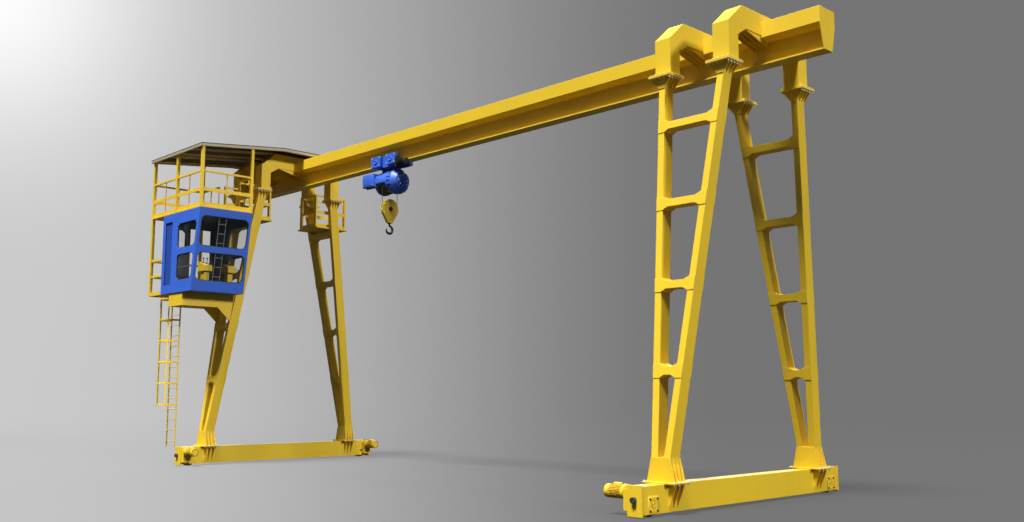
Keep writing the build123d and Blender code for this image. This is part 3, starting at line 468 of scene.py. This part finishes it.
def motor_dress(name, radius, length):
    """Fins, fan cowl and terminal box for a motor that lies along X from the origin."""
    fin = block(name, (length * 0.10, -0.003, -0.004), (length * 0.74, 0.003, 0.015), 0)
    fins = spread(fin, name, ring_of(28, radius)[2:-1])
    cowl_at = (length * 0.89, 0, 0)
    size = {"vertices": 48, "radius": radius + 0.012, "depth": length * 0.22}
    cowl = primitive("cylinder", name, rotation=lying, location=cowl_at, **size)
    rim = radius * 0.30
    step_faces(cowl, forward, (rim, -length * 0.04), (rim, length * 0.03))
    soften(cowl, 0.004)
    low = (length * 0.22, -radius * 0.5, radius * 0.8)
    high = (length * 0.58, radius * 0.5, radius * 1.40)
    terminals = block(name, low, high, 0.008)
    step_faces(terminals, upward, (0.008, 0.006))
    return join(name, fins, cowl, terminals)


drive_y = 3.0
motor_z = 0.385
drive_start = leg_x - 0.330
drive_places = []
for y in (-drive_y, drive_y):
    drive_places.append(Matrix.Translation((drive_start, y, motor_z)) @ about)
    drive_places.append(Matrix.Translation((-drive_start, y, motor_z)))
travel_motor = motor_dress("travel_motors", radius=0.100, length=0.370)
travel_motors = spread(travel_motor, "travel_motors", drive_places)
settle(travel_motors, yellow_paint, "frame")
flange_bolts = [place @ spot @ sideways for place in drive_places for spot in ring_of(8, 0.115)]
bolt_up("drive_bolts", flange_bolts, "frame", across=0.020, height=0.012, washer=0.002)


# The cab is a folded-sheet box in blue enamel with a front that leans in below and a sunk channel
# down each side, with painted shade inside it (near-black) and in the channels (darker blue). Clear
# glass sits in rubber strips in windows with cut-off corners, with thin guard bars behind it, and
# two consoles with levers stand inside.
cab_near = -3.450
cab_far = -1.870
cab_back = -8.880
front_bottom = -7.050
cab_bottom = 4.740
front_lean = 0.370 / 2.260
blue = (0.034, 0.125, 0.60, 1)
pale_blue = (0.10, 0.23, 0.68, 1)
blue_dust = (0.17, 0.20, 0.29, 1)
# Painted shade: near-black for the inside of the cab.
cab_shade_black = (0.016, 0.018, 0.028, 1)
# Painted shade: darker blue for the floor of each side channel.
channel_shade_blue = (0.016, 0.066, 0.36, 1)


def axes(hand):
    """X, Y and Z of a point in the object's own space."""
    return [hand.along(hand.place(), axis) for axis in "XYZ"]


def between(value, low, high):
    """1 where a value lies between two limits, 0 outside them."""
    return value.band(low - 0.001, low + 0.001) * (1 - value.band(high - 0.001, high + 0.001))


def painted_cab_shade(hand):
    """Painted shade inside the cab: past the middle of each wall, the floor and the ceiling."""
    x, y, z = axes(hand)
    behind_front = x - (z - cab_bottom) * front_lean
    across = between(y, cab_near + 0.045, cab_far - 0.045)
    height = between(z, cab_bottom + 0.050, 6.960)
    length = between(behind_front, cab_back - 0.330, front_bottom - 0.040)
    return across * height * length * between(x, cab_back + 0.035, -6.0), cab_shade_black


def painted_channel_shade(hand):
    """Painted shade in the sunk channel down each side of the cab, behind its windows."""
    x, y, z = axes(hand)
    near_side = between(y, cab_near + 0.003, cab_near + 0.042)
    far_side = between(y, cab_far - 0.042, cab_far - 0.003)
    length = between(x, -8.721, -8.299)
    height = between(z, 4.979, 6.771)
    return (near_side + far_side) * length * height, channel_shade_blue


blue_paint = enamel("blue_enamel", blue, pale_blue, blue_dust)
# This enamel carries painted shade inside the cab and in its side channels.
cab_paint = enamel("blue_cab_enamel", blue, pale_blue, blue_dust, zones=(painted_cab_shade, painted_channel_shade))
dress(cab_paint, "cab_floor_and_ceiling", "cab_side_walls", "cab_front_wall", "cab_back_wall")

glass, glass_shader, hand = new_finish("clear_window_glass")
smears = hand.noise(scale=3.0, detail=4.0, stretch=(1.0, 1.0, 0.4)).band(0.5, 0.9)
glass_colour = hand.tint(smears, (0.05, 0.07, 0.07, 1), (0.30, 0.31, 0.30, 1))
glass_colour.feed(glass_shader, "Base Color")
(smears * 0.20 + 0.04).feed(glass_shader, "Roughness")
(smears * 0.08 + 0.07).feed(glass_shader, "Alpha")
dress(glass, "cab_glazing")
dress(yellow_paint, "control_consoles", "cab_bracket")


def cab_front(z):
    """X of the cab's leaning front at a height."""
    return front_bottom + front_lean * (z - cab_bottom)


corner_cut = 0.090
strip_width = 0.018
strip_depth = 0.012


def pane_strip(name, width, height, lean):
    """A rubber strip round a window with cut-off corners, upright from the origin along X."""
    piece = primitive("plane", name, size=1, rotation=(pi / 2, 0, 0), location=(0.5, 0, 0.5))
    bpy.ops.object.mode_set(mode="EDIT")
    bpy.ops.transform.resize(value=(width, 1, height), center_override=(0, 0, 0))
    bpy.ops.object.mode_set(mode="OBJECT")
    pick(piece, lambda point: point.co.x > width / 2 and point.co.z > height / 2, "VERT")
    bpy.ops.transform.translate(value=(lean, 0, 0))
    bpy.ops.mesh.select_all(action="SELECT")
    bpy.ops.mesh.bevel(offset=corner_cut, segments=1, affect="VERTICES")
    bpy.ops.mesh.select_mode(type="FACE")
    bpy.ops.mesh.select_all(action="SELECT")
    bpy.ops.mesh.inset(thickness=strip_width, depth=0)
    bpy.ops.mesh.delete(type="FACE")
    bpy.ops.mesh.select_all(action="SELECT")
    bpy.ops.mesh.extrude_region_move(TRANSFORM_OT_translate={"value": (0, strip_depth, 0)})
    bpy.ops.mesh.select_all(action="SELECT")
    bpy.ops.mesh.normals_make_consistent(inside=False)
    bpy.ops.object.mode_set(mode="OBJECT")
    return piece


lower_pane = (5.080, 5.800)
upper_pane = (5.970, 6.670)
front_panes = ((5.030, lower_pane[1]), (upper_pane[0], 6.790))
side_back = -7.970
front_margin = 0.115
strip_sunk = 0.008
side_faces = (cab_near + strip_sunk, cab_far - strip_sunk - strip_depth)
strips = []
for low, high in (lower_pane, upper_pane):
    width = cab_front(low) - front_margin - side_back
    both_sides = [Matrix.Translation((side_back, y, low)) for y in side_faces]
    side_strip = pane_strip("side_strips", width, high - low, front_lean * (high - low))
    strips.append(spread(side_strip, "side_strips", both_sides))
lean_angle = atan2(front_lean, 1)
upright = Matrix.Rotation(lean_angle, 4, "Y") @ Matrix.Rotation(pi / 2, 4, "Z")
for low, high in front_panes:
    front_strip = pane_strip("front_strips", 1.430, (high - low) / cos(lean_angle), 0)
    corner = Matrix.Translation((cab_front(low) - strip_sunk, cab_near + 0.075, low))
    strips.append(spread(front_strip, "front_strips", [corner @ upright]))
back_strip = pane_strip("back_strips", 0.560, upper_pane[1] - upper_pane[0], 0)
corner = Matrix.Translation((cab_back + strip_sunk, -2.780, upper_pane[0]))
strips.append(spread(back_strip, "back_strips", [corner @ Matrix.Rotation(-pi / 2, 4, "Z")]))
settle(join("window_strips", *strips), rubber, "frame")


def guard_bar(middle, length, turn):
    """One thin round bar."""
    size = {"vertices": 12, "radius": 0.009, "depth": length}
    return primitive("cylinder", "guard_bars", rotation=turn, location=middle, **size)


bar_gap = 0.062
stile_y = (-2.820, -2.610)
stile_z = 5.910
bars = []
for z in (5.160, 5.420, 5.680, 6.080, 6.340, 6.600):
    middle = (cab_front(z) - bar_gap, sum(stile_y) / 2, z)
    bars.append(guard_bar(middle, 0.210, (pi / 2, 0, 0)))
for y in stile_y:
    middle = (cab_front(stile_z) - bar_gap, y, stile_z)
    bars.append(guard_bar(middle, 1.780, (0, lean_angle, 0)))
for y in (cab_near + 0.045, cab_far - 0.045):
    bars.append(guard_bar((-7.540, y, 5.440), 0.880, lying))
bar_steel, _, _ = grained(
    "drawn_steel_bars", (0.30, 0.30, 0.30, 1), (0.48, 0.48, 0.47, 1),
    smooth=0.35, rough=0.60, metallic=0.8, scale=60.0, detail=3.0,
)
settle(join("guard_bars", *bars), bar_steel, "frame")

console_x = -7.450
lever_size = {"vertices": 12, "radius": 0.008, "depth": 0.150}
knob_size = {"segments": 16, "ring_count": 8, "radius": 0.022}
levers = []
for console in (-2.850, -2.130):
    for across in (-0.055, 0.055):
        y = console + across
        levers.append(primitive("cylinder", "levers", location=(console_x, y, 5.620), **lever_size))
        levers.append(primitive("uv_sphere", "levers", location=(console_x, y, 5.705), **knob_size))
settle(join("console_levers", *levers), rubber, "frame")


# The decks are chequer plate on folded edges, with railings of square tube, flat knee strips and
# toe boards all round, reached by a caged ladder. The roof is dark sheet on yellow posts and
# pale rafters, with a cream fascia strip along its near, front and back edges.
deck_paint = enamel("yellow_chequer_plate", yellow, pale_yellow, yellow_dust, tread=1.0)
dress(deck_paint, "upper_deck", "landing")
dress(yellow_paint, "upper_railing", "landing_railing", "ladder", "ladder_hoops", "cage_strips")
brown = (0.045, 0.036, 0.024, 1)
pale_brown = (0.30, 0.25, 0.12, 1)
brown_dust = (0.20, 0.18, 0.14, 1)
roof_paint = enamel(
    "brown_roof_enamel", brown, pale_brown, brown_dust, coat_weight=0.0, specular=0.12
)
dress(roof_paint, "roof_sheet")
rafter_grey = (0.62, 0.58, 0.48, 1)
fascia_cream = (0.42, 0.36, 0.23, 1)
roof_slope = 0.10661
roof_bend_y = -0.930


def rafters(hand):
    """The rafters just under the roof sheet, which slopes up from the near eave to a bend."""
    _, y, z = axes(hand)
    run = hand.maths("MINIMUM", y, roof_bend_y)
    return (z - run * roof_slope).band(9.055, 9.058), rafter_grey


def fascia(hand):
    """The strip along the roof's near, front and back edges."""
    x, y, _ = axes(hand)
    near_edge = 1 - y.band(-3.4705, -3.4695)
    front_edge = x.band(-6.6705, -6.6695)
    back_edge = 1 - x.band(-9.7305, -9.7295)
    return (near_edge + front_edge + back_edge).band(0.0, 1.0), fascia_cream


roof_trim = enamel(
    "yellow_frame_with_cream_fascia", yellow, pale_yellow, yellow_dust, zones=(rafters, fascia)
)
dress(roof_trim, "roof_frame")


# The hoist hangs from a four-wheeled trolley that clasps the running flange. Its housings, drum
# casing, motor and control box are cast or folded and painted blue, with bolted lids, a ribbed
# motor cover and several turns of rope on the drum between the guide and the front ring.
dress(blue_paint, "trolley_frame", "hoist_drum", "hoist_motor", "hoist_control_box")
dress(dark_iron, "trolley_wheels", "trolley_motor", "rope_guide", "hook_sheave", "hook")
hoist_x = -2.720
drum_place = Matrix.Translation((hoist_x, 0, 7.550))

housing_face = 0.306
housing_z = 8.120
away = Matrix.Rotation(pi / 2, 4, "X")
housing_bolts = []
caps = []
for dx in (-0.320, 0.320):
    for side in (-1, 1):
        turn = away if side < 0 else away.inverted()
        centre = Vector((hoist_x + dx, side * housing_face, housing_z))
        caps.append(Matrix.Translation(centre) @ turn)
        for across in (-0.165, 0.165):
            for up in (-0.105, 0.105):
                spot = centre + Vector((across, 0, up))
                housing_bolts.append(Matrix.Translation(spot) @ turn)
bolt_up("trolley_bolts", housing_bolts, "trolley", across=0.028, height=0.012, washer=0.003)
axle_size = {"vertices": 32, "radius": 0.060, "depth": 0.020}
axle_cap = primitive("cylinder", "trolley_caps", location=(0, 0, 0.010), **axle_size)
step_faces(axle_cap, upward, (0.016, -0.006))
soften(axle_cap, 0.003)
settle(spread(axle_cap, "trolley_caps", caps), blue_paint, "trolley")

cross_motor = motor_dress("cross_travel_motor", radius=0.075, length=0.360)
motor_at = Matrix.Translation((hoist_x + 0.600, -0.256, 7.960))
cross_motor = spread(cross_motor, "cross_travel_motor", [motor_at])
settle(cross_motor, dark_iron, "trolley")

rope_radius = 0.008
turn_pitch = 0.0165
turn_size = {"major_radius": 0.271, "major_segments": 48, "minor_segments": 8}
turn_of_rope = primitive(
    "torus", "rope_turns", minor_radius=rope_radius, rotation=lying, **turn_size
)
turn_places = [
    drum_place @ Matrix.Translation((-0.090 + turn_pitch * step, 0, 0)) for step in range(12)
]
rope_turns = spread(turn_of_rope, "rope_turns", turn_places)
rope_steel, _, _ = grained(
    "greased_wire_rope", (0.045, 0.043, 0.040, 1), (0.24, 0.23, 0.22, 1),
    smooth=0.38, rough=0.58, metallic=0.8, scale=90.0, detail=3.0, stretch=(1.0, 1.0, 0.2),
)
settle(rope_turns, rope_steel, "trolley")

hood_size = {"vertices": 64, "radius": 0.300, "depth": 0.450, "end_fill_type": "NOTHING"}
hood = primitive("cylinder", "drum_hood", rotation=lying, **hood_size)
pick(hood, lambda face: face.center.z < -0.02)
bpy.ops.mesh.delete(type="FACE")
bpy.ops.object.mode_set(mode="OBJECT")
sheet = hood.modifiers.new("sheet", "SOLIDIFY")
sheet.thickness = 0.005
bpy.ops.object.modifier_apply(modifier="sheet")
soften(hood, 0.0015)
hood = spread(hood, "drum_hood", [drum_place @ Matrix.Translation((-0.070, 0, 0))])
settle(hood, blue_paint, "trolley")

rib = block("motor_ribs", (0.178, -0.006, -0.006), (0.332, 0.006, 0.014), 0.003)
ribs = spread(rib, "motor_ribs", [drum_place @ place for place in ring_of(20, 0.325)])
settle(ribs, blue_paint, "trolley")
brake_face = 0.510
brake_place = drum_place @ Matrix.Translation((brake_face, 0, 0))
brake_bolts = [brake_place @ place @ sideways for place in ring_of(8, 0.142)]
bolt_up("brake_bolts", brake_bolts, "trolley", across=0.026, height=0.012, washer=0.003)
boss_size = {"vertices": 40, "radius": 0.085, "depth": 0.024}
boss_at = (brake_face + 0.012, 0, 0)
boss = primitive("cylinder", "brake_boss", rotation=lying, location=boss_at, **boss_size)
step_faces(boss, forward, (0.025, -0.010))
soften(boss, 0.003)
settle(spread(boss, "brake_boss", [drum_place]), blue_paint, "trolley")

box_z = 7.640
lid_face = -0.370
lid_low = (hoist_x - 0.805, lid_face, box_z - 0.145)
lid_high = (hoist_x - 0.375, -0.356, box_z + 0.145)
settle(block("control_lid", lid_low, lid_high, 0.006), blue_paint, "trolley")
lid_places = [
    Matrix.Translation((hoist_x + across, lid_face, box_z + up)) @ away
    for across in (-0.785, -0.395)
    for up in (-0.125, 0.125)
]
bolt_up("lid_screws", lid_places, "trolley", across=0.018, height=0.007, washer=0.002)
gland_places = [
    Matrix.Translation((hoist_x + across, -0.245, box_z - 0.170)) @ flip
    for across in (-0.74, -0.64, -0.54, -0.44)
]
bolt_up(
    "cable_glands", gland_places, "trolley", across=0.050, height=0.022, washer=0.004, tip=0.020,
    finish=rubber,
)


# The hook block is a round yellow sheave cover with a tapering neck. Its pin and its two cheeks
# are bolted through, and the forged hook turns in the neck under it.
dress(yellow_paint, "hook_block")
hook_x = -2.790
sheave_z = 6.850
cheek = 0.040
cheek_ring = 0.225
pin_size = {"vertices": 32, "radius": 0.058, "depth": 0.020}
pin = primitive("cylinder", "sheave_pin", location=(0, 0, 0.010), **pin_size)
step_faces(pin, upward, (0.018, 0.008))
soften(pin, 0.003)
pin_places = []
cheek_bolts = []
for face, turn in ((-cheek, sideways.inverted()), (cheek, sideways)):
    pin_places.append(Matrix.Translation((hook_x + face, 0, sheave_z)) @ turn)
    for step in range(6):
        angle = pi * step / 3
        spot = (hook_x + face, cheek_ring * sin(angle), sheave_z + cheek_ring * cos(angle))
        cheek_bolts.append(Matrix.Translation(spot) @ turn)
settle(spread(pin, "sheave_pin", pin_places), dark_iron, "hook_block")
bolt_up("cheek_bolts", cheek_bolts, "hook_block", across=0.024, height=0.010, washer=0.003)


# Two falls of six-strand wire rope run from the drum to the sheave, twisted from one profile.
rope_top = 7.425
fall_y = 0.245
hollow = 0.74
turns_of_lay = 5
fall = primitive("circle", "rope_falls", vertices=12, radius=rope_radius, fill_type="NOTHING")
pick(fall, lambda point: point.index % 2 == 0, "VERT")
bpy.ops.transform.resize(value=(hollow, hollow, 1), center_override=(0, 0, 0))
bpy.ops.object.mode_set(mode="OBJECT")
twist = fall.modifiers.new("twist", "SCREW")
twist.angle = turns_of_lay * 2 * pi
twist.screw_offset = rope_top - sheave_z
twist.steps = 80
twist.render_steps = 80
bpy.ops.object.modifier_apply(modifier="twist")
pick(fall, lambda face: True)
bpy.ops.mesh.normals_make_consistent(inside=False)
bpy.ops.object.mode_set(mode="OBJECT")
fall_places = [Matrix.Translation((hook_x, y, sheave_z)) for y in (-fall_y, fall_y)]
falls = spread(fall, "rope_falls", fall_places)
only(falls)
bpy.ops.object.shade_smooth_by_angle(angle=radians(50))
falls.data.materials.append(rope_steel)
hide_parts("ropes")
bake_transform(falls)


# The studio: a plain pale floor that runs out seamlessly into a grey backdrop, lighter to the
# left, a high soft key light from behind the camera with a weaker one from the right and one from
# the back, and the camera of the photograph.
camera_at = (18.4432, -16.0057, 2.0062)
across_view = (0.6955, 0.7185, 0)
ahead = (-0.7185, 0.6955, 0)
bright = (0.585, 0.585, 0.585, 1)
dim = (0.176, 0.176, 0.176, 1)


def rightward(heading):
    """From -0.5 at the photograph's left to 0.5 at its right, and 0 behind the camera."""
    return (heading.dot(across_view).band(-0.45, 0.22) - 0.5) * heading.dot(ahead).band(0.2, 0.8)


floor_size = {"vertices": 96, "radius": 1000, "fill_type": "NGON"}
floor = primitive("circle", "studio_floor", location=(0, 0, -0.002), **floor_size)
floor_grey, floor_shader, hand = new_finish("studio_floor")
seen = hand.node("ShaderNodeLightPath", {}, {}, "Is Camera Ray")
(hand.noise(scale=0.05, detail=2.0) * 0.06 + 0.75).feed(floor_shader, "Roughness")
floor_shader.inputs["Specular IOR Level"].default_value = 0.0
ends = {0: hand.place(), 1: camera_at}
sight = hand.node("ShaderNodeVectorMath", {"operation": "SUBTRACT"}, ends)
reach = hand.node("ShaderNodeVectorMath", {"operation": "LENGTH"}, {0: sight}, "Value")
heading = hand.node("ShaderNodeVectorMath", {"operation": "NORMALIZE"}, {0: sight})
shift = rightward(heading) * reach.band(3.0, 15.0) + 0.5
paper = hand.tint(shift, (0.205, 0.205, 0.205, 1), (0.078, 0.078, 0.078, 1))
hand.tint(seen, (0.03, 0.03, 0.03, 1), paper).feed(floor_shader, "Base Color")
glow = hand.node("ShaderNodeEmission", {}, {"Color": hand.tint(shift, bright, dim)})
lit = Shade(floor_grey.node_tree, floor_shader.outputs["BSDF"])
share = seen * (reach.band(22.0, 90.0) * 0.38 + 0.62)
blended = hand.node("ShaderNodeMixShader", {}, {0: share, 1: lit, 2: glow})
blended.feed(floor_grey.node_tree.nodes["Material Output"], "Surface")
floor.data.materials.append(floor_grey)

world = bpy.data.worlds.new("studio")
bpy.context.scene.world = world
world.use_nodes = True
hand = Shade(world.node_tree)
seen = hand.node("ShaderNodeLightPath", {}, {}, "Is Camera Ray")
direction = hand.node("ShaderNodeTexCoord", {}, {}, "Generated")
backdrop = hand.tint(rightward(direction) + 0.5, bright, dim)
upper_left = (-0.905, 0.243, 0.349)
nearness = hand.maths("MAXIMUM", direction.dot(upper_left), 0.0)
backdrop = hand.tint(hand.maths("POWER", nearness, 120.0), backdrop, (1.0, 1.0, 1.0, 1))
fill = (0.090, 0.105, 0.130, 1)
hand.tint(seen, fill, backdrop).feed(world.node_tree.nodes["Background"], "Color")


def sun(name, turn, energy, softness):
    """A distant lamp, its turn and its softness in degrees."""
    bpy.ops.object.light_add(type="SUN", rotation=[radians(angle) for angle in turn])
    lamp = bpy.context.object
    lamp.name = name
    lamp.data.energy = energy
    lamp.data.angle = radians(softness)


bpy.ops.object.select_all(action="DESELECT")
sun("key_light", (27, 0, 8), energy=7.3, softness=16)
sun("side_light", (0, 70, 0), energy=2.15, softness=8)
sun("back_light", (-65, 0, 45), energy=1.0, softness=40)

bpy.ops.object.camera_add(location=camera_at, rotation=(radians(97.4405), 0, radians(45.929)))
camera = bpy.context.object
camera.name = "photo_camera"
camera.data.sensor_width = 36
camera.data.lens = 35.262
camera.data.clip_end = 3000
bpy.context.scene.camera = camera
bpy.context.scene.view_settings.view_transform = "Standard"
